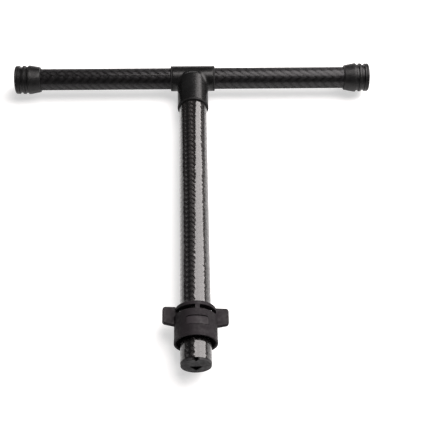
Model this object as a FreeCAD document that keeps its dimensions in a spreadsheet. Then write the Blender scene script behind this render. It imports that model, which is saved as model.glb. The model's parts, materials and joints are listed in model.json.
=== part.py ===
import FreeCAD, Part
import os
import Sketcher

# T-shaped bar lying flat. X runs along the crossbar, the stem points towards -Y and Z is up.
# All sizes are millimetres. Each sub-part is drawn about its own X axis and set in place by its
# Placement: crossbar pieces keep X, stem pieces have their X axis turned to world -Y.

doc = FreeCAD.newDocument("t_bar")
sheet = doc.addObject("Spreadsheet::Sheet", "Sizes")

SIZES = [
    ("bar_length", 500.0, "overall length across the end caps"),
    ("bar_radius", 15.0, "outside radius of the crossbar tube"),
    ("bar_wall", 1.5, "wall of the crossbar tube"),
    ("stem_radius", 19.0, "outside radius of the stem tube"),
    ("stem_wall", 1.8, "wall of the stem tube"),
    ("stem_reach", 443.0, "crossbar axis to the tip of the stem"),
    ("bond_gap", 0.05, "glue line between bonded pieces, per side"),
    ("slip_gap", 0.3, "clearance per side between pieces that move past each other"),
    ("face_gap", 0.1, "gap between flat faces that slide or turn on each other"),
    ("tee_shoulder", 7.1, "crossbar sleeve beyond the side of the stem sleeve, without its mouth ring"),
    ("bar_sleeve_wall", 2.9, "wall of the crossbar sleeve"),
    ("stem_sleeve_wall", 2.4, "wall of the stem sleeve"),
    ("tee_reach", 55.0, "crossbar axis to the rim of the stem sleeve"),
    ("tee_floor", 3.0, "solid wall between the crossbar bore and the stem bore"),
    ("tee_dome_start", 8.0, "crossbar axis to the place where the stem sleeve starts to dome"),
    ("tee_dome", 10.0, "reach of the domed end of the stem sleeve"),
    ("tee_blend", 5.5, "blend radius where the two sleeves meet"),
    ("tee_edge", 0.9, "rounding of the ends of the crossbar sleeve"),
    ("ring_width", 2.6, "width of a crossbar mouth ring"),
    ("ring_rise", 2.8, "rise of a crossbar mouth ring over the tube"),
    ("ring_bevel", 0.9, "bevel on the outer corner of a mouth ring"),
    ("rim_width", 3.4, "width of the ring at the stem sleeve mouth"),
    ("rim_rise", 2.5, "rise of that ring over the stem"),
    ("rim_ease", 0.4, "bevel on the corner of that ring next to the sleeve"),
    ("cap_length", 35.6, "length of an end cap"),
    ("cap_face", 3.5, "thickness of the closed end of a cap"),
    ("cap_lip", 2.4, "rise of the cap at its open end over the tube"),
    ("cap_flare", 5.2, "rise of the cap flare over the tube"),
    ("cap_rib", 5.0, "rise of the middle rib over the tube"),
    ("cap_groove", 3.3, "rise of the groove floors over the tube"),
    ("cap_flange", 4.7, "rise of the end flange over the tube"),
    ("cap_flange_width", 5.8, "width of the end flange"),
    ("cap_groove_width", 3.0, "width of each groove floor"),
    ("cap_rib_width", 2.6, "width of the middle rib"),
    ("cap_crest_width", 2.0, "width of the flare at its crest"),
    ("cap_ramp", 1.1, "length of the slope from a groove floor to the crest beside it"),
    ("cap_lead", 1.4, "length of the slope at the open end"),
    ("cap_lead_rise", 1.0, "rise of the open end at its very edge"),
    ("cap_scribe_place", 3.4, "closed end to the line scribed round the end flange"),
    ("cap_scribe", 0.4, "half width of the scribed line"),
    ("cap_rib_round", 0.6, "rounding of the ribs"),
    ("cap_corner_round", 1.8, "rounding of the closed end"),
    ("bung_length", 14.0, "depth of a bung inside the crossbar tube"),
    ("bung_flange", 1.5, "thickness of the bung flange on the tube end"),
    ("bung_wall", 1.8, "wall and floor of a bung"),
    ("seal_depth", 1.6, "depth of a seal groove"),
    ("seal_width", 2.2, "width of a seal groove"),
    ("seal_start", 5.0, "distance from a plug shoulder to its seal groove"),
    ("seal_bevel", 0.3, "bevel on the corners of a seal"),
    ("core_gap", 0.4, "gap between a foam core and the piece at its end"),
    ("plug_face", 3.5, "thickness of the stem end plug outside the tube"),
    ("plug_depth", 18.0, "depth of the stem end plug inside the tube"),
    ("plug_floor", 3.2, "solid floor of the stem end plug inside its face"),
    ("plug_rim_round", 0.5, "rounding of the rim of the plug face"),
    ("plug_step", 0.4, "step of the plug face inside the outside of the stem"),
    ("mark_width", 16.2, "width of the triangular recess in the plug face"),
    ("mark_height", 12.0, "height of the triangular recess"),
    ("mark_depth", 3.2, "depth of the triangular recess"),
    ("notch_width", 8.0, "width of the notch at the front of the plug rim"),
    ("notch_height", 4.6, "height of that notch"),
    ("stopper_length", 8.0, "length of the plug at the top of the stem"),
    ("nut_setback", 74.7, "top of the wing nut to the tip of the stem"),
    ("nut_length", 46.0, "length of the wing nut"),
    ("nut_lean", -5.5, "turn of the wing nut about the stem at rest, degrees"),
    ("nut_bevel", 0.8, "bevel on the outer corners of the nut"),
    ("collar_bevel", 1.8, "bevel round the top of the nut body, under the windows"),
    ("bead_slope", 0.7, "length of the slope up to the rim bead"),
    ("hoop_length", 4.8, "length of the top hoop"),
    ("hoop_inner_rise", 1.0, "hoop bore radius less the stem radius"),
    ("hoop_outer_rise", 6.0, "hoop outside radius less the stem radius"),
    ("window_length", 5.2, "height of the windows under the hoop"),
    ("post_width", 5.4, "width of the posts between the windows"),
    ("post_inset", 0.1, "step of the posts inside the faces of the hoop"),
    ("post_root", 0.8, "run of a post into the hoop and into the skirt"),
    ("shoulder_length", 4.0, "thickness of the inner shoulder of the nut"),
    ("body_rise", 7.2, "nut body outside radius less the stem radius"),
    ("skirt_rise", 7.5, "nut rim bead outside radius less the stem radius"),
    ("bead_length", 3.6, "length of the rim bead"),
    ("washer_length", 2.4, "thickness of the slip washer"),
    ("washer_rise", 4.3, "slip washer outside radius less the stem radius"),
    ("clip_length", 1.2, "thickness of the snap ring"),
    ("clip_inner_rise", 3.7, "snap ring bore radius less the stem radius"),
    ("clip_bite", 0.8, "depth of the snap ring in its groove"),
    ("ferrule_rise", 3.2, "ferrule flange radius less the stem radius"),
    ("ferrule_foot", 1.6, "ferrule sleeve radius less the stem radius"),
    ("ferrule_length", 9.0, "length of the ferrule"),
    ("ferrule_flange", 3.0, "length of the ferrule flange"),
    ("gasket_length", 2.0, "length of the gland seal under the ferrule flange"),
    ("thread_crest", 4.5, "thread crest radius less the stem radius"),
    ("thread_root", 5.4, "thread root radius less the stem radius"),
    ("thread_start", 22.0, "nut top to the first thread"),
    ("thread_pitch", 3.0, "thread pitch"),
    ("thread_flank", 1.0, "length of a thread flank"),
    ("thread_flat", 0.7, "length of the thread root"),
    ("thread_run_out", 1.2, "length of the lead-in at the open end"),
    ("wing_span", 81.0, "span over both wings"),
    ("wing_rise", 1.8, "rise of the wings over the top hoop"),
    ("wing_tip", 20.2, "height of a wing at its tip"),
    ("wing_root", 23.4, "height of a wing at its root"),
    ("wing_thick", 6.0, "thickness of a wing"),
    ("wing_corner", 4.0, "corner radius of a wing"),
    ("wing_bevel", 1.5, "rounding along the wing edges"),
    ("wing_sink", 0.2, "wall of the skirt left inside the foot of a wing"),
    ("label_start", 21.6, "nut top to the label panel"),
    ("label_height", 9.4, "label panel height along the stem"),
    ("label_angle", 61.0, "arc taken by the label panel, degrees"),
    ("label_play", 2.4, "arc of the label recess beyond the panel, degrees"),
    ("label_margin", 0.5, "gap along the stem between the panel and the edge of its recess"),
    ("label_thick", 0.5, "thickness of the label panel"),
    ("label_sink", 0.7, "depth of the label recess"),
    ("slot_start", 19.8, "nut top to the arched slot above the label"),
    ("slot_height", 1.3, "height of that slot"),
    ("slot_depth", 1.3, "depth of that slot"),
    ("slot_angle", 55.0, "arc of that slot, degrees"),
    ("cut_over", 1.0, "height of a cutting outline over the surface that it cuts"),
]

THREAD_TURNS = 7
POSTS = 4
NEAR = 0.01

for number, (name, value, note) in enumerate(SIZES, start=1):
    sheet.set("A%d" % number, str(value))
    sheet.setAlias("A%d" % number, name)
    sheet.set("B%d" % number, note)

DERIVED = [
    ("axis_height", "stem_radius + skirt_rise", "height of both tube axes over the table"),
    ("bar_y", "(stem_reach - bar_radius - cap_flare) / 2", "crossbar axis along Y"),
    ("tee_half", "stem_radius + stem_sleeve_wall + tee_shoulder", "half length of the crossbar sleeve"),
    ("nut_top", "stem_reach - nut_setback", "crossbar axis to the top of the wing nut"),
    ("wing_foot", "stem_radius + washer_rise + slip_gap + clip_bite + wing_sink",
     "where a wing starts inside the wall"),
    ("cap_flange_start", "cap_length - cap_flange_width", "open end of a cap to its end flange"),
    ("cap_rib_end", "cap_flange_start - 2 * cap_ramp - cap_groove_width",
     "open end to the far side of the rib"),
    ("cap_crest_end", "cap_rib_end - cap_rib_width - 2 * cap_ramp - cap_groove_width",
     "open end to the far side of the flare crest"),
    ("bar_bore", "bar_radius - bar_wall", "inside radius of the crossbar tube"),
    ("stem_bore", "stem_radius - stem_wall", "inside radius of the stem tube"),
    ("bar_tube_half", "bar_length / 2 - cap_face - bung_flange - 2 * bond_gap",
     "half length of the crossbar tube"),
    ("stem_start", "bar_radius + tee_floor + 2 * bond_gap", "crossbar axis to the top end of the stem tube"),
    ("stem_end", "stem_reach - plug_face - bond_gap", "crossbar axis to the lower end of the stem tube"),
    ("shoulder_end", "hoop_length + window_length + shoulder_length", "nut top to the shoulder face"),
    ("washer_end", "shoulder_end + face_gap + washer_length", "nut top to the far face of the washer"),
    ("clip_start", "washer_end + face_gap", "nut top to the near face of the snap ring"),
    ("ferrule_top", "nut_top + clip_start", "crossbar axis to the ferrule flange"),
]
row = len(SIZES)
for name, formula, note in DERIVED:
    row += 1
    sheet.set("A%d" % row, "=" + formula)
    sheet.setAlias("A%d" % row, name)
    sheet.set("B%d" % row, note)
doc.recompute()


def cell(formula):
    """Writes a formula of sheet names as an expression that reads the sheet."""
    words = []
    word = ""
    for letter in formula + " ":
        if letter.isalnum() or letter in "_.":
            word += letter
            continue
        if word:
            words.append("Sizes." + word if word[0].isalpha() else word)
            word = ""
        words.append(letter)
    return "".join(words).strip()


def new_body(label):
    body = doc.addObject("PartDesign::Body", label)
    body.Label = label
    return body


def origin_plane(body, role):
    for item in body.Origin.OriginFeatures:
        if item.Role == role:
            return item
    raise ValueError(role)


def polygon_sketch(body, name, role, corners):
    """Draws a closed outline whose corners are formulas, measured from the body's origin."""
    sketch = body.newObject("Sketcher::SketchObject", name)
    sketch.AttachmentSupport = (origin_plane(body, role), [""])
    sketch.MapMode = "FlatFace"
    values = []
    for across, up in corners:
        values.append((evaluate(across), evaluate(up)))
    count = len(values)
    for index in range(count):
        start = FreeCAD.Vector(values[index][0], values[index][1], 0)
        ahead = values[(index + 1) % count]
        end = FreeCAD.Vector(ahead[0], ahead[1], 0)
        sketch.addGeometry(Part.LineSegment(start, end), False)
    for index in range(count):
        sketch.addConstraint(Sketcher.Constraint("Coincident", index, 2, (index + 1) % count, 1))
    for index, (across, up) in enumerate(corners):
        fix_corner(sketch, index, "DistanceX", across, values[index][0], -2)
        fix_corner(sketch, index, "DistanceY", up, values[index][1], -1)
    return sketch


def evaluate(formula):
    """Value of a formula of sheet names at the present sizes."""
    return float(sheet.evalExpression(cell(formula).replace("Sizes.", "")))


def fix_corner(sketch, index, kind, formula, value, axis_line):
    """Ties one coordinate of a corner to its formula, or to the axis when it is nought."""
    if formula == "0":
        sketch.addConstraint(Sketcher.Constraint("PointOnObject", index, 1, axis_line))
        return
    number = sketch.addConstraint(Sketcher.Constraint(kind, -1, 1, index, 1, value))
    sketch.setExpression("Constraints[%d]" % number, cell(formula))


def revolve(body, name, sketch, angle="360", groove=False):
    """Turns an outline about the body's X axis, evenly to both sides of its plane."""
    kind = "PartDesign::Groove" if groove else "PartDesign::Revolution"
    feature = body.newObject(kind, name)
    feature.Profile = sketch
    feature.ReferenceAxis = (sketch, ["H_Axis"])
    feature.Midplane = angle != "360"
    feature.setExpression("Angle", cell(angle))
    sketch.Visibility = False
    return feature


def pad_both_ways(body, name, sketch, width):
    feature = body.newObject("PartDesign::Pad", name)
    feature.Profile = sketch
    feature.Midplane = True
    feature.setExpression("Length", cell(width))
    sketch.Visibility = False
    return feature


def place_on_bar(body, distance, side=1, inward=False):
    """Sets a body on the crossbar axis of one side, its X axis pointing outwards or inwards."""
    turn = 0 if (side > 0) != inward else 180
    body.Placement = FreeCAD.Placement(FreeCAD.Vector(0, 0, 0),
                                       FreeCAD.Rotation(FreeCAD.Vector(0, 0, 1), turn))
    sign = "" if side > 0 else "-1 * "
    body.setExpression(".Placement.Base.x", sign + "(" + cell(distance) + ")")
    body.setExpression(".Placement.Base.y", "Sizes.bar_y")
    body.setExpression(".Placement.Base.z", "Sizes.axis_height")


def place_on_stem(body, distance, lean=0.0, inward=False):
    """Sets a body on the stem axis, its X axis pointing at the tip or back at the crossbar."""
    turn = FreeCAD.Rotation(FreeCAD.Vector(0, 0, 1), 90 if inward else -90)
    spin = FreeCAD.Rotation(FreeCAD.Vector(1, 0, 0), lean)
    body.Placement = FreeCAD.Placement(FreeCAD.Vector(0, 0, 0), turn.multiply(spin))
    body.setExpression(".Placement.Base.x", "0 mm")
    body.setExpression(".Placement.Base.y", "Sizes.bar_y - (" + cell(distance) + ")")
    body.setExpression(".Placement.Base.z", "Sizes.axis_height")


def turned(label, corners):
    """Makes a body from one outline turned about its X axis."""
    body = new_body(label)
    sketch = polygon_sketch(body, label + "_outline", "XY_Plane", corners)
    revolve(body, label + "_turned", sketch)
    doc.recompute()
    return body


def circle_edges(shape, wanted):
    """Names of the full circular edges for which wanted(radius, x) is true."""
    names = []
    for number, edge in enumerate(shape.Edges, start=1):
        if edge.Degenerated or edge.Curve.TypeId != "Part::GeomCircle":
            continue
        if wanted(edge.Curve.Radius, edge.Curve.Center.x):
            names.append("Edge%d" % number)
    return names


def round_edges(body, name, base, edges, radius):
    feature = body.newObject("PartDesign::Fillet", name)
    feature.Base = (base, edges)
    feature.setExpression("Radius", cell(radius))
    doc.recompute()
    return feature


def tube_outline(inner, outer, length):
    return [("0", inner), (length, inner), (length, outer), ("0", outer)]


def make_tubes():
    """The two carbon tubes."""
    bar = turned("crossbar_tube", tube_outline("bar_bore", "bar_radius", "2 * bar_tube_half"))
    place_on_bar(bar, "-1 * bar_tube_half")
    stem = turned("stem_tube", tube_outline("stem_bore", "stem_radius", "stem_end - stem_start"))
    place_on_stem(stem, "stem_start")


def make_cores():
    """Closed-cell foam that keeps water out of both tubes."""
    reach = "bar_tube_half - bung_length - core_gap"
    bar_core = turned("crossbar_foam_core", [
        ("0", "0"), ("2 * (" + reach + ")", "0"),
        ("2 * (" + reach + ")", "bar_bore - bond_gap"), ("0", "bar_bore - bond_gap")])
    place_on_bar(bar_core, "-1 * (" + reach + ")")
    length = "stem_end - stem_start - stopper_length - plug_depth - 2 * core_gap"
    stem_core = turned("stem_foam_core", [
        ("0", "0"), (length, "0"),
        (length, "stem_bore - bond_gap"), ("0", "stem_bore - bond_gap")])
    place_on_stem(stem_core, "stem_start + stopper_length + core_gap")


def cylinder(body, kind, name, radius, length):
    feature = body.newObject("PartDesign::%sCylinder" % kind, name)
    feature.setExpression("Radius", cell(radius))
    feature.setExpression("Height", cell(length))
    return feature


def make_tee():
    """Moulded housing: a sleeve on the crossbar blended into a wider sleeve round the stem."""
    body = new_body("tee_housing")
    along_bar = FreeCAD.Rotation(FreeCAD.Vector(0, 1, 0), 90)
    along_stem = FreeCAD.Rotation(FreeCAD.Vector(1, 0, 0), 90)
    sleeve = cylinder(body, "Additive", "tee_bar_sleeve", "bar_radius + bar_sleeve_wall", "2 * tee_half")
    sleeve.Placement = FreeCAD.Placement(FreeCAD.Vector(0, 0, 0), along_bar)
    sleeve.setExpression(".Placement.Base.x", "-1 * Sizes.tee_half")
    neck = cylinder(body, "Additive", "tee_stem_sleeve", "stem_radius + stem_sleeve_wall",
                    "tee_reach - rim_width - tee_dome_start")
    seam_down = FreeCAD.Rotation(FreeCAD.Vector(0, 1, 0), 90)
    neck.Placement = FreeCAD.Placement(FreeCAD.Vector(0, 0, 0), seam_down.multiply(along_stem))
    neck.setExpression(".Placement.Base.y", cell("-1 * tee_dome_start"))
    doc.recompute()
    dome = body.newObject("PartDesign::AdditiveEllipsoid", "tee_dome_end")
    dome.setExpression("Radius1", cell("tee_dome"))
    dome.setExpression("Radius2", cell("stem_radius + stem_sleeve_wall"))
    dome.setExpression("Radius3", cell("stem_radius + stem_sleeve_wall"))
    dome.Angle1 = -90
    dome.Angle2 = 90
    dome.Angle3 = 360
    dome.Placement = FreeCAD.Placement(FreeCAD.Vector(0, 0, 0), seam_down.multiply(along_stem))
    dome.setExpression(".Placement.Base.y", cell("-1 * tee_dome_start"))
    doc.recompute()
    round_edges(body, "tee_blend_edges", dome, meeting_edges(dome.Shape), "tee_blend")
    bar_hole = cylinder(body, "Subtractive", "tee_bar_bore", "bar_radius + bond_gap", "3 * tee_half")
    bar_hole.Placement = FreeCAD.Placement(FreeCAD.Vector(0, 0, 0), along_bar)
    bar_hole.setExpression(".Placement.Base.x", "-1.5 * Sizes.tee_half")
    stem_hole = cylinder(body, "Subtractive", "tee_stem_bore", "stem_radius + bond_gap", "tee_reach")
    stem_hole.Placement = FreeCAD.Placement(FreeCAD.Vector(0, 0, 0), along_stem)
    stem_hole.setExpression(".Placement.Base.y", cell("-1 * (bar_radius + tee_floor)"))
    doc.recompute()
    ends = circle_edges(stem_hole.Shape,
                        lambda radius, x: abs(abs(x) - evaluate("tee_half")) < NEAR
                        and radius > evaluate("bar_radius + bar_sleeve_wall / 2"))
    round_edges(body, "tee_mouth_edges", stem_hole, ends, "tee_edge")
    body.setExpression(".Placement.Base.x", "0 mm")
    body.setExpression(".Placement.Base.y", "Sizes.bar_y")
    body.setExpression(".Placement.Base.z", "Sizes.axis_height")


def meeting_edges(shape):
    """Edges where the crossbar sleeve meets the stem sleeve or its domed end."""
    names = []
    bar_outer = evaluate("bar_radius + bar_sleeve_wall")
    half = evaluate("tee_half")
    for number, edge in enumerate(shape.Edges, start=1):
        if edge.Degenerated:
            continue
        points = edge.discretize(9)
        on_bar = all(abs((p.y ** 2 + p.z ** 2) ** 0.5 - bar_outer) < NEAR for p in points)
        inside = all(abs(p.x) < half - NEAR for p in points)
        straight = edge.Curve.TypeId == "Part::GeomLine"
        if on_bar and inside and not straight:
            names.append("Edge%d" % number)
    return names


def make_mouth_rings():
    """Soft rings that close the three mouths of the tee on the tubes."""
    outline = [
        ("0", "bar_radius + bond_gap"),
        ("ring_width", "bar_radius + bond_gap"),
        ("ring_width", "bar_radius + ring_rise - ring_bevel"),
        ("ring_width - ring_bevel", "bar_radius + ring_rise"),
        ("0", "bar_radius + ring_rise")]
    for label, side in (("left_mouth_ring", -1), ("right_mouth_ring", 1)):
        ring = turned(label, outline)
        place_on_bar(ring, "tee_half + bond_gap", side)
    rim = turned("stem_mouth_ring", [
        ("0", "stem_radius + bond_gap"),
        ("rim_width - bond_gap", "stem_radius + bond_gap"),
        ("rim_width - bond_gap", "stem_radius + rim_rise - ring_bevel"),
        ("rim_width - bond_gap - ring_bevel", "stem_radius + rim_rise"),
        ("rim_ease", "stem_radius + rim_rise"),
        ("0", "stem_radius + rim_rise - rim_ease")])
    place_on_stem(rim, "tee_reach - rim_width + bond_gap")


def make_caps():
    """Ribbed rubber caps over the crossbar ends."""
    outline = [
        ("0", "bar_radius + bond_gap"),
        ("cap_length - cap_face", "bar_radius + bond_gap"),
        ("cap_length - cap_face", "0"),
        ("cap_length", "0"),
        ("cap_length", "bar_radius + cap_flange"),
        ("cap_length - cap_scribe_place + cap_scribe", "bar_radius + cap_flange"),
        ("cap_length - cap_scribe_place", "bar_radius + cap_flange - cap_scribe"),
        ("cap_length - cap_scribe_place - cap_scribe", "bar_radius + cap_flange"),
        ("cap_flange_start", "bar_radius + cap_flange"),
        ("cap_flange_start - cap_ramp", "bar_radius + cap_groove"),
        ("cap_rib_end + cap_ramp", "bar_radius + cap_groove"),
        ("cap_rib_end", "bar_radius + cap_rib"),
        ("cap_rib_end - cap_rib_width", "bar_radius + cap_rib"),
        ("cap_rib_end - cap_rib_width - cap_ramp", "bar_radius + cap_groove"),
        ("cap_crest_end + cap_ramp", "bar_radius + cap_groove"),
        ("cap_crest_end", "bar_radius + cap_flare"),
        ("cap_crest_end - cap_crest_width", "bar_radius + cap_flare"),
        ("cap_lead", "bar_radius + cap_lip"),
        ("0", "bar_radius + cap_lead_rise")]
    for label, side in (("left_end_cap", -1), ("right_end_cap", 1)):
        cap = turned(label, outline)
        base = cap.Tip
        rims = circle_edges(base.Shape, lambda radius, x: radius > evaluate("bar_radius + cap_groove") + NEAR
                            and x < evaluate("cap_flange_start") + NEAR)
        soft = round_edges(cap, label + "_ribs", base, rims, "cap_rib_round")
        end = circle_edges(soft.Shape, lambda radius, x: radius > evaluate("bar_radius")
                           and x > evaluate("cap_length") - NEAR)
        round_edges(cap, label + "_corner", soft, end, "cap_corner_round")
        place_on_bar(cap, "bar_length / 2 - cap_length", side)


def plug_outline(bore, depth, face, face_radius, wall):
    """Cup with a flange at its start, a seal groove and an open far end."""
    fit = bore + " - bond_gap"
    floor = fit + " - seal_depth"
    return [
        ("0", "0"),
        (face + " + " + wall, "0"),
        (face + " + " + wall, floor + " - " + wall),
        (face + " + " + depth, floor + " - " + wall),
        (face + " + " + depth, fit),
        (face + " + seal_start + seal_width", fit),
        (face + " + seal_start + seal_width", floor),
        (face + " + seal_start", floor),
        (face + " + seal_start", fit),
        (face, fit),
        (face, face_radius),
        ("0", face_radius)]


def seal_outline(bore):
    """Ring with bevelled corners that fills a seal groove up to the tube wall."""
    near = "bond_gap"
    far = "seal_width - bond_gap"
    low = bore + " - seal_depth"
    high = bore + " - bond_gap / 2"
    return [
        (near, low + " + seal_bevel"),
        (near + " + seal_bevel", low),
        (far + " - seal_bevel", low),
        (far, low + " + seal_bevel"),
        (far, high + " - seal_bevel"),
        (far + " - seal_bevel", high),
        (near + " + seal_bevel", high),
        (near, high + " - seal_bevel")]


def make_bungs():
    """Bungs and their seals in the ends of the crossbar tube, flange outwards."""
    outline = plug_outline("bar_bore", "bung_length", "bung_flange", "bar_radius - bond_gap", "bung_wall")
    for name, side in (("left", -1), ("right", 1)):
        bung = turned(name + "_tube_bung", outline)
        place_on_bar(bung, "bar_tube_half + bung_flange + bond_gap", side, inward=True)
        seal = turned(name + "_bung_seal", seal_outline("bar_bore"))
        place_on_bar(seal, "bar_tube_half + bond_gap - seal_start", side, inward=True)


def make_stem_plugs():
    """Plug at the tip with its orientation marks, its seal, and the stopper at the top."""
    plug = turned("stem_end_plug", plug_outline("stem_bore", "plug_depth", "plug_face",
                                                "stem_radius - plug_step", "plug_floor"))
    plug_base = plug.Tip
    rim = circle_edges(plug_base.Shape, lambda radius, x: radius > evaluate("stem_bore") and x < NEAR)
    round_edges(plug, "plug_rim", plug_base, rim, "plug_rim_round")
    half = "mark_width / 2"
    add_recess(plug, "triangle_recess", [("-1 * " + half, "0"), (half, "0"), ("0", "-1 * mark_height")])
    side = "notch_width / 2"
    top = "stem_radius + cut_over"
    add_recess(plug, "rim_notch", [("0", "stem_radius - notch_height"), (side, top), ("-1 * " + side, top)])
    place_on_stem(plug, "stem_reach", inward=True)
    seal = turned("stem_plug_seal", seal_outline("stem_bore"))
    place_on_stem(seal, "stem_end + bond_gap - seal_start", inward=True)
    stopper = turned("stem_top_plug", [
        ("0", "0"), ("bung_wall", "0"), ("bung_wall", "stem_bore - bond_gap - bung_wall"),
        ("stopper_length", "stem_bore - bond_gap - bung_wall"), ("stopper_length", "stem_bore - bond_gap"),
        ("0", "stem_bore - bond_gap")])
    place_on_stem(stopper, "stem_start")


def add_recess(body, name, corners):
    """Cuts an outline drawn in the end face to the depth of the marks."""
    sketch = polygon_sketch(body, name + "_outline", "YZ_Plane", corners)
    pocket = body.newObject("PartDesign::Pocket", name)
    pocket.Profile = sketch
    pocket.setExpression("Length", cell("mark_depth"))
    sketch.Visibility = False
    before = pocket.BaseFeature.Shape.Volume
    doc.recompute()
    if pocket.Shape.isNull() or pocket.Shape.Volume > before - NEAR:
        pocket.Reversed = True
        doc.recompute()


def make_nut():
    """Wing nut: threaded skirt, inner shoulder, four posts, top hoop and two flat wings."""
    body = new_body("wing_nut")
    low = "hoop_length + window_length"
    wall = "stem_radius + washer_rise + slip_gap"
    groove = wall + " + clip_bite"
    outline = [
        (low, "stem_radius + 2 * slip_gap"),
        ("shoulder_end", "stem_radius + 2 * slip_gap"),
        ("shoulder_end", wall),
        ("clip_start", wall),
        ("clip_start", groove),
        ("clip_start + clip_length + face_gap", groove),
        ("clip_start + clip_length + face_gap", wall)]
    for turn in range(THREAD_TURNS):
        start = "thread_start + %d * thread_pitch" % turn
        outline.append((start, "stem_radius + thread_crest" if turn else wall))
        outline.append((start + " + thread_flank", "stem_radius + thread_root"))
        outline.append((start + " + thread_flank + thread_flat", "stem_radius + thread_root"))
        outline.append((start + " + 2 * thread_flank + thread_flat", "stem_radius + thread_crest"))
    outline += [
        ("nut_length - thread_run_out", "stem_radius + thread_crest"),
        ("nut_length", "stem_radius + thread_root"),
        ("nut_length", "stem_radius + skirt_rise"),
        ("nut_length - bead_length", "stem_radius + skirt_rise"),
        ("nut_length - bead_length - bead_slope", "stem_radius + body_rise"),
        (low + " + collar_bevel", "stem_radius + body_rise"),
        (low, "stem_radius + body_rise - collar_bevel")]
    sketch = polygon_sketch(body, "nut_outline", "XY_Plane", outline)
    revolve(body, "nut_skirt", sketch)
    doc.recompute()
    post = polygon_sketch(body, "post_outline", "XZ_Plane", [
        ("hoop_length - post_root", "stem_radius + hoop_inner_rise + post_inset"),
        (low + " + post_root", "stem_radius + hoop_inner_rise + post_inset"),
        (low + " + post_root", "stem_radius + hoop_outer_rise - post_inset"),
        ("hoop_length - post_root", "stem_radius + hoop_outer_rise - post_inset")])
    post_pad = pad_both_ways(body, "nut_post", post, "post_width")
    doc.recompute()
    posts = body.newObject("PartDesign::PolarPattern", "nut_posts")
    posts.Originals = [post_pad]
    posts.Axis = (sketch, ["H_Axis"])
    posts.Angle = 360
    posts.Occurrences = POSTS
    body.Tip = posts
    doc.recompute()
    hoop = polygon_sketch(body, "hoop_outline", "XY_Plane", [
        ("0", "stem_radius + hoop_inner_rise"),
        ("hoop_length", "stem_radius + hoop_inner_rise"),
        ("hoop_length", "stem_radius + hoop_outer_rise"),
        ("nut_bevel", "stem_radius + hoop_outer_rise"),
        ("0", "stem_radius + hoop_outer_rise - nut_bevel")])
    revolve(body, "nut_hoop", hoop)
    doc.recompute()
    wing = polygon_sketch(body, "wing_outline", "XY_Plane", [
        ("-1 * wing_rise", "wing_foot"),
        ("-1 * wing_rise", "wing_span / 2"),
        ("wing_tip", "wing_span / 2"),
        ("wing_root", "wing_foot")])
    wing_pad = pad_both_ways(body, "nut_wing", wing, "wing_thick")
    doc.recompute()
    pair = body.newObject("PartDesign::Mirrored", "nut_wings")
    pair.Originals = [wing_pad]
    pair.MirrorPlane = (origin_plane(body, "XZ_Plane"), [""])
    body.Tip = pair
    doc.recompute()
    corners = []
    for number, edge in enumerate(pair.Shape.Edges, start=1):
        box = edge.BoundBox
        upright = box.XLength < NEAR and box.YLength < NEAR
        if upright and abs(abs(box.YMin) - evaluate("wing_span / 2")) < NEAR:
            corners.append("Edge%d" % number)
    rounded = round_edges(body, "wing_corners", pair, corners, "wing_corner")
    tips = []
    for number, edge in enumerate(rounded.Shape.Edges, start=1):
        box = edge.BoundBox
        flat = box.ZLength < NEAR and abs(abs(box.ZMin) - evaluate("wing_thick / 2")) < NEAR
        outside = min(abs(box.YMin), abs(box.YMax)) > evaluate("stem_radius + body_rise + wing_corner")
        if flat and outside:
            tips.append("Edge%d" % number)
    bevel = body.newObject("PartDesign::Fillet", "wing_edges")
    bevel.Base = (rounded, tips)
    bevel.setExpression("Radius", cell("wing_bevel"))
    doc.recompute()
    if bevel.Shape.isNull() or "Invalid" in bevel.State:
        raise ValueError("wing edge rounding failed")
    recess = polygon_sketch(body, "label_recess_outline", "XZ_Plane", [
        ("label_start - label_margin", "stem_radius + body_rise - label_sink"),
        ("label_start + label_height + label_margin", "stem_radius + body_rise - label_sink"),
        ("label_start + label_height + label_margin", "stem_radius + body_rise + cut_over"),
        ("label_start - label_margin", "stem_radius + body_rise + cut_over")])
    revolve(body, "label_recess", recess, "label_angle + label_play", groove=True)
    slot = polygon_sketch(body, "front_slot_outline", "XZ_Plane", [
        ("slot_start", "stem_radius + body_rise - slot_depth"),
        ("slot_start + slot_height", "stem_radius + body_rise - slot_depth"),
        ("slot_start + slot_height", "stem_radius + body_rise + cut_over"),
        ("slot_start", "stem_radius + body_rise + cut_over")])
    revolve(body, "front_slot", slot, "slot_angle", groove=True)
    doc.recompute()
    place_on_stem(body, "nut_top", evaluate("nut_lean"))


def make_nut_inserts():
    """Blank label, snap ring and slip washer that travel with the nut."""
    label = new_body("nut_label")
    outline = polygon_sketch(label, "label_outline", "XZ_Plane", [
        ("label_start", "stem_radius + body_rise - label_sink + bond_gap"),
        ("label_start + label_height", "stem_radius + body_rise - label_sink + bond_gap"),
        ("label_start + label_height", "stem_radius + body_rise - label_sink + bond_gap + label_thick"),
        ("label_start", "stem_radius + body_rise - label_sink + bond_gap + label_thick")])
    revolve(label, "label_turned", outline, "label_angle")
    doc.recompute()
    place_on_stem(label, "nut_top", evaluate("nut_lean"))
    clip = turned("nut_snap_ring", tube_outline(
        "stem_radius + clip_inner_rise",
        "stem_radius + washer_rise + slip_gap + clip_bite - bond_gap", "clip_length"))
    place_on_stem(clip, "nut_top + clip_start + face_gap / 2", evaluate("nut_lean"))
    washer = turned("slip_washer", tube_outline(
        "stem_radius + slip_gap", "stem_radius + washer_rise", "washer_length"))
    place_on_stem(washer, "nut_top + shoulder_end + face_gap / 2")


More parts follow.
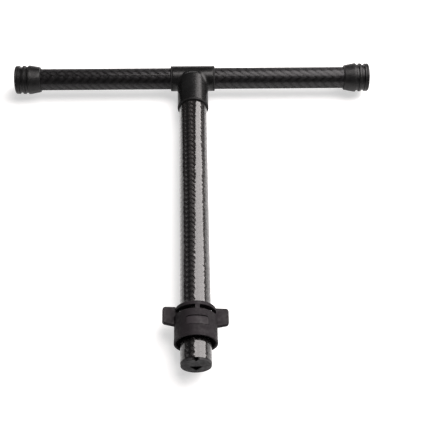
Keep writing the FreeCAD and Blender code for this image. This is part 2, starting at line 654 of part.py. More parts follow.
def make_ferrule():
    """Stop ring bonded to the stem, and the seal round its foot."""
    ferrule = turned("stem_ferrule", [
        ("0", "stem_radius + bond_gap"),
        ("ferrule_length", "stem_radius + bond_gap"),
        ("ferrule_length", "stem_radius + ferrule_foot"),
        ("ferrule_flange", "stem_radius + ferrule_foot"),
        ("ferrule_flange", "stem_radius + ferrule_rise"),
        ("0", "stem_radius + ferrule_rise")])
    place_on_stem(ferrule, "ferrule_top")
    gasket = turned("gland_seal", tube_outline(
        "stem_radius + ferrule_foot + bond_gap", "stem_radius + ferrule_rise - face_gap", "gasket_length"))
    place_on_stem(gasket, "ferrule_top + ferrule_flange + bond_gap")


make_tubes()
make_cores()
make_tee()
make_mouth_rings()
make_caps()
make_bungs()
make_stem_plugs()
make_nut()
make_nut_inserts()
make_ferrule()
doc.recompute()

for item in doc.Objects:
    if "Invalid" in item.State or "Error" in item.State:
        raise ValueError("%s is %s" % (item.Name, item.State))

os.makedirs("parts", exist_ok=True)
for body in doc.Objects:
    if body.TypeId != "PartDesign::Body":
        continue
    if body.Shape.isNull() or not body.Shape.isValid() or len(body.Shape.Solids) != 1:
        raise ValueError("bad shape in " + body.Label)
    body.Shape.exportStep("parts/" + body.Label + ".step")
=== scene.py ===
"""Looks of a T-shaped carbon bar: its finishes, its rubber caps and a plain studio stage."""
import json
import math

import bpy
import numpy as np
from mathutils import Matrix, Vector


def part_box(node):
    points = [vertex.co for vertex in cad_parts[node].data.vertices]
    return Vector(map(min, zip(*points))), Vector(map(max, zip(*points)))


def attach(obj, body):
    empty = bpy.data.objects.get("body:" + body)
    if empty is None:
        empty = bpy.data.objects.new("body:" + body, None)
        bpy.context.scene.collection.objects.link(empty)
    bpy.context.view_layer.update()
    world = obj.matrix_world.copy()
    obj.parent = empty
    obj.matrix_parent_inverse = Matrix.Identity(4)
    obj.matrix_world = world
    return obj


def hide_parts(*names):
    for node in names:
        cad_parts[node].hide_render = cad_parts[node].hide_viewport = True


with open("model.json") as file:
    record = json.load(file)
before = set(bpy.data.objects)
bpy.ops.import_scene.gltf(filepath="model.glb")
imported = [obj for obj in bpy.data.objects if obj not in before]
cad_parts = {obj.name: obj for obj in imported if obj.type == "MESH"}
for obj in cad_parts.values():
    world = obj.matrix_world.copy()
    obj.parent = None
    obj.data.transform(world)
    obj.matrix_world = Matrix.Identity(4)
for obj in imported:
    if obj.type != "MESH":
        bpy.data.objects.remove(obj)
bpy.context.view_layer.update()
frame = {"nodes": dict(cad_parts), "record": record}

bl_info = {
    "name": "T-Bar Looks",
    "version": (1, 0, 0),
    "blender": (4, 5, 0),
    "location": "3D View > Sidebar > T-Bar",
    "description": "Dresses a packed T-shaped bar with carbon, rubber and moulded plastic finishes",
    "category": "Object",
}

BODY = {node: body for body, nodes in frame["record"]["behaviour"]["bodies"].items() for node in nodes}
MM = 0.001
CAP_FACE = 3.5 * MM         # thickness of the closed end of a cap
GLUE_LINE = 0.05 * MM       # gap between a cap and its tube
CAP_RINGS, CAP_SIDES = 360, 128     # points along the outside of a cap and points round it

# the triangle and the rim notch in the plug face: each mask fades between the two values
MARK_DEPTH = (0.2 * MM, 0.5 * MM)       # below the face
MARK_REACH = (12.0 * MM, 12.5 * MM)     # from the middle out, for the triangle
NOTCH_HALF = (4.2 * MM, 4.5 * MM)       # to each side, for the notch
NOTCH_LOW = (13.6 * MM, 13.9 * MM)      # above the middle, for the notch

# distances from an axis between which a skin goes from new to rubbed; on the nut's wings the lightening is
# partly painted sheen
CAP_WEAR = (19.2 * MM, 20.2 * MM)
NUT_RUB_AND_SHEEN = (30.0 * MM, 41.0 * MM)
PLUG_WEAR = (17.5 * MM, 18.9 * MM)

# moulded skins: scales of the noises and how far tone and roughness stray
MIDDLE = (0.3, 0.7)                     # part of a noise's range that is spread out
STRAY_TONE = (0.75, 1.25)               # lowest and highest share of the tint
STRAY_ROUGH = (0.8, 1.3)                # lowest and highest share of the roughness
DRIFT_SCALE, RUB_SCALE, MATT_SCALE = 38.0, 420.0, 210.0
RUB_PATCH = (0.42, 0.72)                # part of the rub noise over which a patch comes up
GRAIN_STRENGTH = 0.7
SWELL_DEPTH, SWELL_STRENGTH = 0.5 * MM, 0.15
MARK_TONE, LABEL_TONE = 0.12, 1.5       # share of the tint in a sunk mark and on the label

# colours and tone pairs of the pieces that hardly show
BUNG_TINT = (0.05, 0.05, 0.052)
SEAL_TINT = (0.016, 0.016, 0.017)
WASHER_TINT = (0.55, 0.55, 0.53)
FOAM_TONES = ((0.55, 0.54, 0.50), (0.80, 0.79, 0.75))
STEEL_TONES = ((0.42, 0.42, 0.43), (0.62, 0.62, 0.63))
ANODISED_TONES = ((0.03, 0.03, 0.032), (0.055, 0.055, 0.058))

# weave: a tow floats over two cells of a pattern of four
FLOAT, REPEAT = 2.0, 4.0
WANDER_SCALE, WANDER, WANDER_ROUND = 11.0, 0.5, 0.4     # slow waver of the rows, in cells
FIBRES, FIBRE_LEAN = 22.0, 0.5                          # streaks across a tow and how they lean
WIDTH_CRIMP = 0.8                                       # lean across a tow against that along it
END_FADE = 0.6                                          # power that squares off a float's ends
# the second tow set gets a smaller share of painted sheen in its colour and a rougher surface
SECOND_SHEEN, SECOND_ROUGH = 0.4, 1.6                    # the second tow set against the first
TOW_LEAN, FILM_LEAN, FILM_FOLLOW = -0.8, -0.3, 0.12     # the film follows the tows a little
SHINE_STRETCH = 0.85                                    # how far the shine spreads across the fibres
FILM_ROUGH, FILM_IOR = 0.10, 1.5                        # the lacquer
BLOTCH_SCALE = 260.0
FIBRE_TONE = (0.25, 0.75, 0.35, 1.0)                    # range of the streaks, then of their tone
BLOTCH_TONE = (0.3, 0.7, 0.4, 1.0)                      # range of the blotches, then of their tone
BLOTCH_ROUGH = (0.3, 0.75)                              # range over which they roughen the tows

# stage, with the camera's y and z measured from the axis of the crossbar
FLOOR_HALF, FLOOR_DROP = 6.0, 0.4 * MM
FLOOR_TONE = (0.985, 1.01)      # share of the floor colour in its deep and its pale specks
KEY_SIZE = (1.2, 2.0)
KEY_PLACE = (0.69, 0.48, 1.15)
KEY_COLOUR = (1.0, 0.955, 0.945)
CAMERA_PLACE = (-0.002627, -0.915618, 1.059415)
CAMERA_FORWARD = (0.0232546, 0.5423784, -0.8398124)
CAMERA_RIGHT = (0.9996706, -0.0217434, 0.0136384)


# ---------------------------------------------------------------- sizes and colours

def colour(name, description, default):
    """A linear colour that a user may change."""
    return bpy.props.FloatVectorProperty(
        name=name, description=description, default=default, size=3, min=0.0, max=1.0, subtype="COLOR")


class TBAR_PG_carbon(bpy.types.PropertyGroup):
    # the weave colours are painted light: the dark one is painted shade between and under the tows, the
    # light ones are painted sheen on the tow crowns
    dark: colour("Dark tow", "Colour of the tows that turn away", (0.0022, 0.0020, 0.0021))
    stem_sheen_tow: colour("Light stem tow", "Colour of the stem's tows that face the light",
                       (0.025, 0.0215, 0.021))
    bar_sheen_tow: colour("Light crossbar tow", "Colour of the crossbar's tows that face the light",
                      (0.031, 0.0302, 0.031))
    stem_tows: bpy.props.IntProperty(
        name="Stem weave rows", description="Weave cells round the stem, an even number", default=20,
        min=4, max=96)
    bar_tows: bpy.props.IntProperty(
        name="Crossbar weave rows", description="Weave cells round the crossbar, an even number",
        default=10, min=4, max=96)
    stem_lacquer: bpy.props.FloatProperty(
        name="Stem lacquer", description="Weight of the clear coat on the stem", default=1.0, min=0.0,
        max=1.0, subtype="FACTOR")
    bar_lacquer: bpy.props.FloatProperty(
        name="Crossbar lacquer", description="Weight of the clear coat on the crossbar", default=0.12,
        min=0.0, max=1.0, subtype="FACTOR")


class TBAR_PG_rubber(bpy.types.PropertyGroup):
    base: colour("Rubber", "Colour of the caps and rings", (0.0050, 0.0049, 0.0051))
    worn: colour("Worn rubber", "Colour of the rubbed ridges", (0.014, 0.014, 0.0135))


class TBAR_PG_plastic(bpy.types.PropertyGroup):
    tee: colour("Tee", "Colour of the tee housing", (0.0055, 0.0055, 0.0056))
    nut: colour("Nut", "Colour of the wing nut", (0.0125, 0.0104, 0.0120))
    plug: colour("Plug", "Colour of the plug at the tip", (0.020, 0.020, 0.021))
    # the worn colour also serves as painted sheen on the nut's outer wings
    worn: colour("Worn edge", "Colour of rubbed corners", (0.040, 0.039, 0.039))


class TBAR_PG_stage(bpy.types.PropertyGroup):
    floor: colour("Floor", "Colour of the floor", (0.58, 0.58, 0.58))
    glow: bpy.props.FloatProperty(
        name="Floor glow", description="Light that comes through the floor, as on a light table",
        default=0.56, min=0.0)
    key: bpy.props.FloatProperty(
        name="Key light", description="Power of the long soft box", default=66.0, min=0.0, unit="POWER")
    fill: bpy.props.FloatProperty(
        name="Fill", description="Strength of the surrounding light", default=0.10, min=0.0)
    lens: bpy.props.FloatProperty(
        name="Lens", description="Focal length on a 36 mm sensor, in millimetres", default=81.6, min=10.0)


# ---------------------------------------------------------------- node building

class Finish:
    """One material and short calls that add its nodes."""

    def __init__(self, name):
        self.material = bpy.data.materials.new(name)
        self.material.use_nodes = True
        self.tree = self.material.node_tree
        self.tree.nodes.clear()
        self.shader = self.tree.nodes.new("ShaderNodeBsdfPrincipled")
        output = self.tree.nodes.new("ShaderNodeOutputMaterial")
        self.tree.links.new(self.shader.outputs[0], output.inputs[0])
        self.place = self.tree.nodes.new("ShaderNodeTexCoord").outputs["Object"]

    def put(self, value, socket):
        """Links a socket or sets a plain value."""
        if isinstance(value, bpy.types.NodeSocket):
            self.tree.links.new(value, socket)
        else:
            socket.default_value = value

    def sum(self, operation, first, second=None, third=None):
        """One Math node."""
        node = self.tree.nodes.new("ShaderNodeMath")
        node.operation = operation
        for value, socket in zip((first, second, third), node.inputs):
            if value is not None:
                self.put(value, socket)
        return node.outputs[0]

    def split(self, vector):
        """The three parts of a vector."""
        node = self.tree.nodes.new("ShaderNodeSeparateXYZ")
        self.put(vector, node.inputs[0])
        return node.outputs[0], node.outputs[1], node.outputs[2]

    def join(self, x, y, z):
        """A vector from three parts."""
        node = self.tree.nodes.new("ShaderNodeCombineXYZ")
        for value, socket in zip((x, y, z), node.inputs):
            self.put(value, socket)
        return node.outputs[0]

    def centred(self, centre):
        """Object coordinates measured from a point."""
        node = self.tree.nodes.new("ShaderNodeMapping")
        self.put(self.place, node.inputs["Vector"])
        node.inputs["Location"].default_value = [-c for c in centre]
        return node.outputs[0]

    def noise(self, vector, scale, detail=2.0, roughness=0.5):
        """Smooth noise from nought to one."""
        node = self.tree.nodes.new("ShaderNodeTexNoise")
        self.put(vector, node.inputs["Vector"])
        node.inputs["Scale"].default_value = scale
        node.inputs["Detail"].default_value = detail
        node.inputs["Roughness"].default_value = roughness
        return node.outputs["Fac"]

    def span(self, value, low, high, out_low=0.0, out_high=1.0):
        """Maps low..high to the output range with smooth ends."""
        node = self.tree.nodes.new("ShaderNodeMapRange")
        node.interpolation_type = "SMOOTHSTEP"
        self.put(value, node.inputs["Value"])
        node.inputs["From Min"].default_value = low
        node.inputs["From Max"].default_value = high
        node.inputs["To Min"].default_value = out_low
        node.inputs["To Max"].default_value = out_high
        return node.outputs["Result"]

    def either(self, choice, first, second):
        """The first value where the choice is one, the second where it is nought."""
        gap = self.sum("SUBTRACT", first, second)
        return self.sum("MULTIPLY_ADD", gap, choice, second)

    def vector(self, operation, first, second=None, scale=None):
        """One Vector Math node."""
        node = self.tree.nodes.new("ShaderNodeVectorMath")
        node.operation = operation
        self.put(first, node.inputs[0])
        if second is not None:
            self.put(second, node.inputs[1])
        if scale is not None:
            self.put(scale, node.inputs["Scale"])
        return node.outputs["Vector"]

    def leaning(self, lean, amount):
        """The surface normal tipped over by a small vector times an amount."""
        normal = self.tree.nodes.new("ShaderNodeNewGeometry").outputs["Normal"]
        tipped = self.vector("ADD", normal, self.vector("SCALE", lean, scale=amount))
        return self.vector("NORMALIZE", tipped)

    def mix(self, amount, first, second):
        """Mixes two colours."""
        node = self.tree.nodes.new("ShaderNodeMix")
        node.data_type = "RGBA"
        self.put(amount, node.inputs["Factor"])
        for value, socket in ((first, node.inputs["A"]), (second, node.inputs["B"])):
            self.put(value if isinstance(value, bpy.types.NodeSocket) else (*value, 1.0), socket)
        return node.outputs["Result"]

    def bump(self, height, distance, strength=1.0, under=None):
        """The normal of a relief, laid over another normal where one is given."""
        node = self.tree.nodes.new("ShaderNodeBump")
        self.put(height, node.inputs["Height"])
        node.inputs["Distance"].default_value = distance
        node.inputs["Strength"].default_value = strength
        if under is not None:
            self.put(under, node.inputs["Normal"])
        return node.outputs["Normal"]

    def set(self, **values):
        """Sets or links sockets of the shader by name, underscores for spaces."""
        for name, value in values.items():
            socket = self.shader.inputs[name.replace("_", " ")]
            if name.endswith(("Color", "Tint")) and not isinstance(value, bpy.types.NodeSocket):
                value = (*value, 1.0)
            self.put(value, socket)
        return self.material


STEM_WEAVE = {"rough": 0.26, "shine": 0.10, "crimp": 0.30, "stretch": 1.2, "turn": -0.31,
              "warmth": (1.0, 0.96, 0.95)}
BAR_WEAVE = {"rough": 0.30, "shine": 0.14, "crimp": 0.16, "stretch": 1.25, "turn": 0.0,
             "warmth": (0.97, 0.96, 1.0)}


def strayed(rough):
    """The lowest and the highest roughness round a middle value."""
    low, high = STRAY_ROUGH
    return rough * low, rough * high


def carbon(name, along, centre, radius, cells, light, lacquer, rough, shine, crimp, stretch, turn, warmth):
    """Twill of two tow sets that slant across the tube at about 45 degrees. Cell numbers come from
    the sum and the difference of the distance round the tube and the distance along it, where cells
    are longer than wide by the stretch. Each tow floats over two cells and dives under two, one cell
    back from row to row, so that the floats of one set lie in columns along the tube. A tow's
    surface leans with the cosine of the way along its float and with the cosine of the way across
    its width, and the lacquer over it ripples a little round the tube. Both sets shine across their
    own fibres, the second set less."""
    look = bpy.context.scene.tbar_carbon
    f = Finish(name)
    x, y, z = f.split(f.centred(centre))
    axial, across = (x, y) if along == "X" else (y, x)
    angle = f.sum("ARCTAN2", across, z)
    cosine, sine = f.sum("COSINE", angle), f.sum("MULTIPLY", f.sum("SINE", angle), -1.0)

    def on_tube(round_part, along_part):
        """Vector with one part round the tube and one along it."""
        first, second = f.sum("MULTIPLY", cosine, round_part), f.sum("MULTIPLY", sine, round_part)
        return f.join(along_part, first, second) if along == "X" else f.join(first, along_part, second)

    pitch = 2 * math.pi * radius / cells * stretch
    wander = f.sum("MULTIPLY", f.noise(f.place, WANDER_SCALE, 2.0), WANDER)
    drift = f.sum("MULTIPLY_ADD", wander, WANDER_ROUND, turn)
    around = f.sum("MULTIPLY_ADD", angle, cells / (2 * math.pi), drift)
    forward = f.sum("MULTIPLY_ADD", axial, 1 / pitch, wander)
    first = f.sum("ADD", around, forward)
    second = f.sum("SUBTRACT", around, forward)
    float_second = f.sum("FLOORED_MODULO", f.sum("ADD", first, f.sum("FLOOR", second)), REPEAT)
    over = f.sum("LESS_THAN", float_second, FLOAT)
    behind = f.sum("ADD", f.sum("FLOOR", first), f.sum("SUBTRACT", second, FLOAT))
    float_first = f.sum("FLOORED_MODULO", behind, REPEAT)
    way = f.sum("MULTIPLY", f.either(over, float_second, float_first), math.pi / FLOAT)
    width = f.sum("MULTIPLY", f.either(over, f.sum("FRACT", second), f.sum("FRACT", first)), math.pi)
    fibre = f.either(over,
                     f.noise(f.join(f.sum("MULTIPLY", second, FIBRES), first, 0.0), 1.0),
                     f.noise(f.join(f.sum("MULTIPLY", first, FIBRES), second, 3.0), 1.0))
    lean_way = f.sum("MULTIPLY", f.sum("COSINE", way), crimp)
    ripple = f.sum("MULTIPLY", f.sum("SUBTRACT", fibre, 0.5), FIBRE_LEAN)
    lean_width = f.sum("ADD", f.sum("MULTIPLY", f.sum("COSINE", width), crimp * WIDTH_CRIMP), ripple)
    both, gap = f.sum("ADD", lean_way, lean_width), f.sum("SUBTRACT", lean_way, lean_width)
    round_lean = f.either(over, both, f.sum("MULTIPLY", gap, -1.0))
    along_lean = f.either(over, gap, both)
    lean = on_tube(round_lean, along_lean)
    # across the fibres: once round less or plus once along, by tow set
    tangent = on_tube(1.0, f.sum("MULTIPLY_ADD", over, -2.0, 1.0))

    blotch = f.noise(f.place, BLOTCH_SCALE, 3.0, 0.6)
    # painted sheen and shade: each float goes from the light colour on its crown to the dark one at its
    # edges and ends; random streaks and blotches vary it, and the second set gets less
    ends = f.sum("POWER", f.sum("ABSOLUTE", f.sum("SINE", way)), END_FADE)
    body = f.sum("MULTIPLY", f.sum("SINE", width), ends)
    shade = f.sum("MULTIPLY", body, f.span(fibre, *FIBRE_TONE))
    shade = f.sum("MULTIPLY", shade, f.span(blotch, *BLOTCH_TONE))
    shade = f.sum("MULTIPLY", shade, f.either(over, SECOND_SHEEN, 1.0))
    tint = f.mix(shade, tuple(look.dark), light)
    matt = f.span(blotch, *BLOTCH_ROUGH, *strayed(rough))
    matt = f.sum("MULTIPLY", matt, f.either(over, SECOND_ROUGH, 1.0))
    wave = f.sum("SUBTRACT", blotch, 0.5)
    film = on_tube(f.sum("MULTIPLY_ADD", round_lean, FILM_FOLLOW, wave), 0.0)
    return f.set(Base_Color=tint, Roughness=matt, Normal=f.leaning(lean, TOW_LEAN),
                 Specular_IOR_Level=shine, Specular_Tint=warmth,
                 Anisotropic=SHINE_STRETCH, Tangent=tangent,
                 Coat_Weight=lacquer, Coat_Roughness=FILM_ROUGH, Coat_IOR=FILM_IOR,
                 Coat_Normal=f.leaning(film, FILM_LEAN))


def moulded(name, tint, grain=1980.0, rough=0.5, shine=0.3, wear=None, worn=None, depth=0.04 * MM,
            dark=None):
    """Moulded plastic: fine spark grain, slow tone drift, places rubbed to the worn colour where wear
    says, which on the nut's wings is partly painted sheen, and near black ones where dark says."""
    f = Finish(name)
    drift = f.noise(f.place, DRIFT_SCALE, 3.0, 0.6)
    fine = f.noise(f.place, grain, 2.0, 0.7)
    deep, pale = ([c * share for c in tint] for share in STRAY_TONE)
    base = f.mix(f.span(drift, *MIDDLE), deep, pale)
    if wear is not None:
        patch = f.span(f.noise(f.place, RUB_SCALE, 4.0, 0.65), *RUB_PATCH)
        base = f.mix(f.sum("MULTIPLY", wear(f), patch), base, worn)
    if dark is not None:
        base = f.mix(dark(f), base, [c * MARK_TONE for c in tint])
    normal = f.bump(fine, depth, GRAIN_STRENGTH)
    normal = f.bump(drift, SWELL_DEPTH, SWELL_STRENGTH, normal)
    roughness = f.span(f.noise(f.place, MATT_SCALE, 3.0, 0.6), *MIDDLE, *strayed(rough))
    return f.set(Base_Color=base, Roughness=roughness, Normal=normal, Specular_IOR_Level=shine)


def metal(name, tones, scale, metallic, rough):
    """Metal that strays between two tones and two roughnesses."""
    f = Finish(name)
    speck = f.noise(f.place, scale)
    return f.set(Base_Color=f.mix(speck, *tones), Metallic=metallic,
                 Roughness=f.span(speck, *MIDDLE, *rough))


def sunk_marks(tip, height):
    """Mask of the triangle and the rim notch in the plug face: deeper than its skin, near its middle
    or near the top of its rim."""
    def mask(f):
        x, y, z = f.split(f.centred((0.0, tip, height)))
        radius = f.sum("SQRT", f.sum("ADD", f.sum("MULTIPLY", x, x), f.sum("MULTIPLY", z, z)))
        middle = f.span(radius, *MARK_REACH, 1.0, 0.0)
        side = f.span(f.sum("ABSOLUTE", x), *NOTCH_HALF, 1.0, 0.0)
        top = f.sum("MULTIPLY", side, f.span(z, *NOTCH_LOW))
        sunk = f.span(y, *MARK_DEPTH)
        return f.sum("MULTIPLY", sunk, f.sum("MAXIMUM", middle, top))
    return mask


def beyond(axis, centre, low, high):
    """Mask that rises with the distance from an axis between two radii, for wear, and on the nut's wings
    for painted sheen as well.
    """
    def mask(f):
        x, y, z = f.split(f.centred(centre))
        across = y if axis == "X" else x
        radius = f.sum("SQRT", f.sum("ADD", f.sum("MULTIPLY", across, across), f.sum("MULTIPLY", z, z)))
        return f.span(radius, low, high)
    return mask


def dress(material, *nodes):
    """Gives CAD nodes a finish."""
    for name in nodes:
        mesh = frame["nodes"][name].data
        mesh.materials.clear()
        mesh.materials.append(material)


# ---------------------------------------------------------------- surfaces

def turned_surface(name, along, out, steps, centre, side, material):
    """Surface of revolution. A profile gives distance along the axis and radius at each point,
    and each ring is that radius times the cosine and sine of an angle that runs once round.
    Both ends of the profile lie on the axis and close in a fan."""
    angle = np.linspace(0.0, 2 * np.pi, steps, endpoint=False)
    rings = len(along) - 2
    x = np.repeat(along[1:-1], steps)
    y = np.outer(out[1:-1], np.cos(angle)).ravel()
    z = np.outer(out[1:-1], np.sin(angle)).ravel()
    tips = [[along[0], 0, 0], [along[-1], 0, 0]]
    points = np.vstack([np.column_stack([x, y, z]), tips])
    i, j = np.meshgrid(np.arange(rings - 1), np.arange(steps), indexing="ij")
    k = (j + 1) % steps
    near, far = i * steps, (i + 1) * steps
    quads = np.stack([near + j, far + j, far + k, near + k], -1).reshape(-1, 4)
    j = np.arange(steps)
    k = (j + 1) % steps
    start = np.column_stack([np.full(steps, rings * steps), k, j])
    last = (rings - 1) * steps
    end = np.column_stack([np.full(steps, rings * steps + 1), last + j, last + k])
    # x and y change sign together, which is a half turn and keeps the outside out
    points = points * [side, side, 1.0] + np.array(centre)
    mesh = bpy.data.meshes.new(name)
    mesh.from_pydata(points.tolist(), [], quads[:, ::-1].tolist() + start.tolist() + end.tolist())
    mesh.polygons.foreach_set("use_smooth", np.ones(len(mesh.polygons), bool))
    mesh.materials.append(material)
    mesh.update()
    piece = bpy.data.objects.new(name, mesh)
    bpy.context.scene.collection.objects.link(piece)
    return piece


# ---------------------------------------------------------------- operators

def axis_of(node):
    """Middle of a node's box."""
    low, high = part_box(node)
    return (low + high) / 2


def radius_of(node):
    """Half the height of a node's box."""
    low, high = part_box(node)
    return (high.z - low.z) / 2


class TBAR_OT_tubes(bpy.types.Operator):
    """Lacquered carbon on both tubes, and foam inside them"""
    bl_idname = "tbar.tubes"
    bl_label = "Tubes"

    def execute(self, context):
        look = context.scene.tbar_carbon
        bar = axis_of("crossbar_tube")
        stem = axis_of("stem_tube")
        dress(carbon("crossbar_carbon", "X", bar, radius_of("crossbar_tube"), look.bar_tows,
                     tuple(look.bar_sheen_tow), look.bar_lacquer, **BAR_WEAVE), "crossbar_tube")
        dress(carbon("stem_carbon", "Y", stem, radius_of("stem_tube"), look.stem_tows,
                     tuple(look.stem_sheen_tow), look.stem_lacquer, **STEM_WEAVE), "stem_tube")
        foam = Finish("white_foam")
        cell = foam.noise(foam.place, 700.0, 3.0, 0.6)
        foam.set(Base_Color=foam.mix(cell, *FOAM_TONES), Roughness=0.9, Normal=foam.bump(cell, 0.4 * MM))
        dress(foam.material, "crossbar_foam_core", "stem_foam_core")
        return {"FINISHED"}


class TBAR_OT_tee(bpy.types.Operator):
    """Moulded tee, its mouth rings and the plugs and seals hidden in the tubes"""
    bl_idname = "tbar.tee"
    bl_label = "Tee"

    def execute(self, context):
        look = context.scene.tbar_plastic
        rubber = context.scene.tbar_rubber
        housing = moulded("tee_plastic", tuple(look.tee), rough=0.26, shine=0.20, depth=0.01 * MM)
        dress(housing, "tee_housing")
        ring = moulded("mouth_ring_rubber", tuple(rubber.base), rough=0.55, shine=0.2)
        dress(ring, "left_mouth_ring", "right_mouth_ring", "stem_mouth_ring")
        hidden = moulded("bung_plastic", BUNG_TINT)
        dress(hidden, "left_tube_bung", "right_tube_bung", "stem_top_plug")
        seal = moulded("seal_rubber", SEAL_TINT, rough=0.45)
        dress(seal, "left_bung_seal", "right_bung_seal", "stem_plug_seal", "gland_seal")
        return {"FINISHED"}


def ramp(values, low, high):
    """Smooth step from nought at low to one at high."""
    share = np.clip((values - low) / (high - low), 0.0, 1.0)
    return share * share * (3.0 - 2.0 * share)


def cap_profile(cap_length, flare, bore, wall):
    """Cap outline from its mouth, in metres. The outside is a straight flare that levels out and
    then falls a little, less two soft grooves, less one scribed line, with a round at each end.
    The inside is the bore up to the closed wall."""
    slope_end, crest_fall = 14.8 * MM, 0.5 * MM
    lip, lip_depth = 2.8 * MM, 1.4 * MM
    groove_depth, slope = 1.75 * MM, 1.3 * MM
    grooves = ((16.8 * MM, 22.0 * MM), (24.6 * MM, 29.8 * MM))
    scribe, scribe_width, scribe_depth = 32.2 * MM, 0.35 * MM, 0.45 * MM
    corner = 2.2 * MM
    mouth_start, mouth_end = -0.4 * MM, 1.2 * MM
    chamfer_deep, chamfer_wide = 0.4 * MM, 0.3 * MM
    along = np.linspace(0.0, cap_length, CAP_RINGS)
    out = flare - lip * (1.0 - np.clip(along / slope_end, 0.0, 1.0))
    out -= crest_fall * ramp(along, grooves[0][0], grooves[1][1])
    out -= lip_depth * (1.0 - ramp(along, mouth_start, mouth_end))
    for start, end in grooves:
        out -= groove_depth * ramp(along, start, start + slope) * (1.0 - ramp(along, end - slope, end))
    out -= scribe_depth * np.exp(-((along - scribe) / scribe_width) ** 2)
    past = np.clip((along - (cap_length - corner)) / corner, 0.0, 1.0)
    out -= corner * (1.0 - np.sqrt(1.0 - past * past))
    floor = cap_length - wall
    inside = np.array([[floor, 0.0], [floor, bore], [chamfer_deep, bore], [0.0, bore + chamfer_wide]])
    face = np.array([[cap_length, out[-1] / 2], [cap_length, 0.0]])
    points = np.vstack([inside, np.column_stack([along, out]), face])
    return points[:, 0], points[:, 1]


class TBAR_OT_caps(bpy.types.Operator):
    """Ribbed rubber caps on both ends of the crossbar"""
    bl_idname = "tbar.caps"
    bl_label = "End caps"

    def execute(self, context):
        look = context.scene.tbar_rubber
        bar = axis_of("crossbar_tube")
        rubber = moulded("cap_rubber", tuple(look.base), grain=1540.0, rough=0.40, shine=0.22,
                         wear=beyond("X", bar, *CAP_WEAR), worn=tuple(look.worn), depth=0.1 * MM)
        flare = radius_of("left_end_cap")
        bore = radius_of("crossbar_tube") + GLUE_LINE
        low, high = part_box("left_end_cap")
        along, out = cap_profile(high.x - low.x, flare, bore, CAP_FACE)
        for name, side in (("left_end_cap", -1.0), ("right_end_cap", 1.0)):
            low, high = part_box(name)
            mouth = high.x if side < 0 else low.x
            centre = (mouth, bar.y, bar.z)
            piece = turned_surface(name + "_rubber", along, out, CAP_SIDES, centre, side, rubber)
            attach(piece, BODY[name])
            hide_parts(name)
        return {"FINISHED"}


class TBAR_OT_nut(bpy.types.Operator):
    """Wing nut with its blank label, snap ring and slip washer"""
    bl_idname = "tbar.nut"
    bl_label = "Wing nut"

    def execute(self, context):
        look = context.scene.tbar_plastic
        stem = axis_of("stem_tube")
        # painted sheen and rub: the nut's wings are lightened in patches, more towards their tips, partly
        # standing for light on the wing edges
        rubbed = beyond("Y", (0.0, 0.0, stem.z), *NUT_RUB_AND_SHEEN)
        dress(moulded("nut_plastic", tuple(look.nut), rough=0.62, shine=0.12, wear=rubbed,
                      worn=tuple(look.worn)), "wing_nut")
        label_tint = [c * LABEL_TONE for c in look.nut]
        dress(moulded("label_film", label_tint, rough=0.55, shine=0.16), "nut_label")
        dress(moulded("washer_plastic", WASHER_TINT, rough=0.35), "slip_washer")
        dress(metal("ring_steel", STEEL_TONES, 900.0, 1.0, (0.22, 0.4)), "nut_snap_ring")
        dress(metal("anodised_aluminium", ANODISED_TONES, 800.0, 0.6, (0.3, 0.45)), "stem_ferrule")
        return {"FINISHED"}


class TBAR_OT_plug(bpy.types.Operator):
    """Plug at the tip of the stem, with its triangle and its rim notch"""
    bl_idname = "tbar.plug"
    bl_label = "Tip plug"

    def execute(self, context):
        look = context.scene.tbar_plastic
        stem = axis_of("stem_tube")
        rubbed = beyond("Y", (0.0, 0.0, stem.z), *PLUG_WEAR)
        marks = sunk_marks(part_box("stem_end_plug")[0].y, stem.z)
        dress(moulded("plug_plastic", tuple(look.plug), rough=0.55, shine=0.15, wear=rubbed,
                      worn=tuple(look.worn), dark=marks), "stem_end_plug")
        return {"FINISHED"}


def camera_rotation(forward, right):
    """Turn whose axes are right, up and back of a camera."""
    back = -Vector(forward).normalized()
    side = Vector(right)
    side = (side - back * side.dot(back)).normalized()
    up = back.cross(side)
    return Matrix((side, up, back)).transposed()


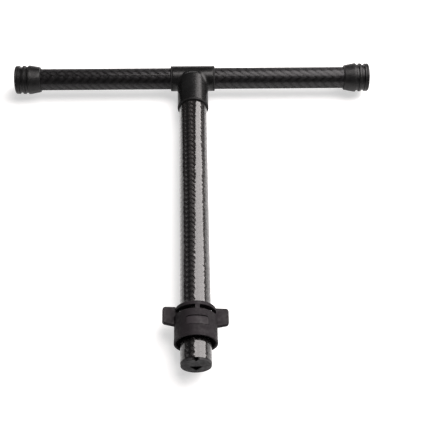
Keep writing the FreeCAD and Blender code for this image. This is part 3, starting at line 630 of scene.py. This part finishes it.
class TBAR_OT_stage(bpy.types.Operator):
    """Pale floor, one long soft box, dim surroundings and the camera"""
    bl_idname = "tbar.stage"
    bl_label = "Stage"

    def execute(self, context):
        look = context.scene.tbar_stage
        scene = context.scene
        side = np.array([-FLOOR_HALF, FLOOR_HALF])
        gx, gy = np.meshgrid(side, side, indexing="ij")
        corners = np.column_stack([gx.ravel(), gy.ravel(), np.full(4, -FLOOR_DROP)])
        mesh = bpy.data.meshes.new("floor")
        mesh.from_pydata(corners.tolist(), [], [[0, 2, 3, 1]])
        floor = bpy.data.objects.new("floor", mesh)
        scene.collection.objects.link(floor)
        paper = Finish("floor_paper")
        speck = paper.noise(paper.place, 60.0, 3.0)
        deep, pale = ([min(1.0, c * share) for c in look.floor] for share in FLOOR_TONE)
        paper.set(Base_Color=paper.mix(speck, deep, pale), Roughness=0.85, Specular_IOR_Level=0.0,
                  Emission_Color=(1.0, 1.0, 1.0), Emission_Strength=look.glow)
        mesh.materials.append(paper.material)

        world = bpy.data.worlds.new("surroundings")
        world.use_nodes = True
        background = world.node_tree.nodes["Background"]
        background.inputs["Color"].default_value = (1.0, 1.0, 1.0, 1.0)
        background.inputs["Strength"].default_value = look.fill
        scene.world = world

        key = bpy.data.lights.new("long_soft_box", "AREA")
        key.shape = "RECTANGLE"
        key.size, key.size_y = KEY_SIZE
        key.energy = look.key
        key.color = KEY_COLOUR
        lamp = bpy.data.objects.new("long_soft_box", key)
        scene.collection.objects.link(lamp)
        lamp.location = KEY_PLACE
        lamp.rotation_euler = (-lamp.location).to_track_quat("-Z", "Y").to_euler()

        lens = bpy.data.cameras.new("camera")
        lens.lens = look.lens
        lens.sensor_width = 36.0
        lens.clip_start, lens.clip_end = 0.01, 50.0
        camera = bpy.data.objects.new("camera", lens)
        scene.collection.objects.link(camera)
        bar = axis_of("crossbar_tube")
        x, y, z = CAMERA_PLACE
        camera.location = (x, bar.y + y, bar.z + z)
        camera.rotation_mode = "QUATERNION"
        camera.rotation_quaternion = camera_rotation(CAMERA_FORWARD, CAMERA_RIGHT).to_quaternion()
        scene.camera = camera
        scene.view_settings.view_transform = "Standard"
        return {"FINISHED"}


class TBAR_PT_panel(bpy.types.Panel):
    """Lists the sizes, colours and pieces"""
    bl_idname = "TBAR_PT_panel"
    bl_label = "T-Bar"
    bl_space_type = "VIEW_3D"
    bl_region_type = "UI"
    bl_category = "T-Bar"

    def draw(self, context):
        for group in ("tbar_carbon", "tbar_rubber", "tbar_plastic", "tbar_stage"):
            box = self.layout.box()
            for name in getattr(context.scene, group).__annotations__:
                box.prop(getattr(context.scene, group), name)
        for operator in OPERATORS:
            self.layout.operator(operator.bl_idname)


GROUPS = {"tbar_carbon": TBAR_PG_carbon, "tbar_rubber": TBAR_PG_rubber,
          "tbar_plastic": TBAR_PG_plastic, "tbar_stage": TBAR_PG_stage}
OPERATORS = (TBAR_OT_stage, TBAR_OT_tubes, TBAR_OT_tee, TBAR_OT_caps, TBAR_OT_nut, TBAR_OT_plug)
CLASSES = (*GROUPS.values(), *OPERATORS, TBAR_PT_panel)


def register():
    for item in CLASSES:
        bpy.utils.register_class(item)
    for name, group in GROUPS.items():
        setattr(bpy.types.Scene, name, bpy.props.PointerProperty(type=group))


def unregister():
    for name in GROUPS:
        delattr(bpy.types.Scene, name)
    for item in reversed(CLASSES):
        bpy.utils.unregister_class(item)


def main():
    register()
    for operator in (bpy.ops.tbar.stage, bpy.ops.tbar.tubes, bpy.ops.tbar.tee, bpy.ops.tbar.caps,
                     bpy.ops.tbar.nut, bpy.ops.tbar.plug):
        operator()


if __name__ == "__main__":
    main()
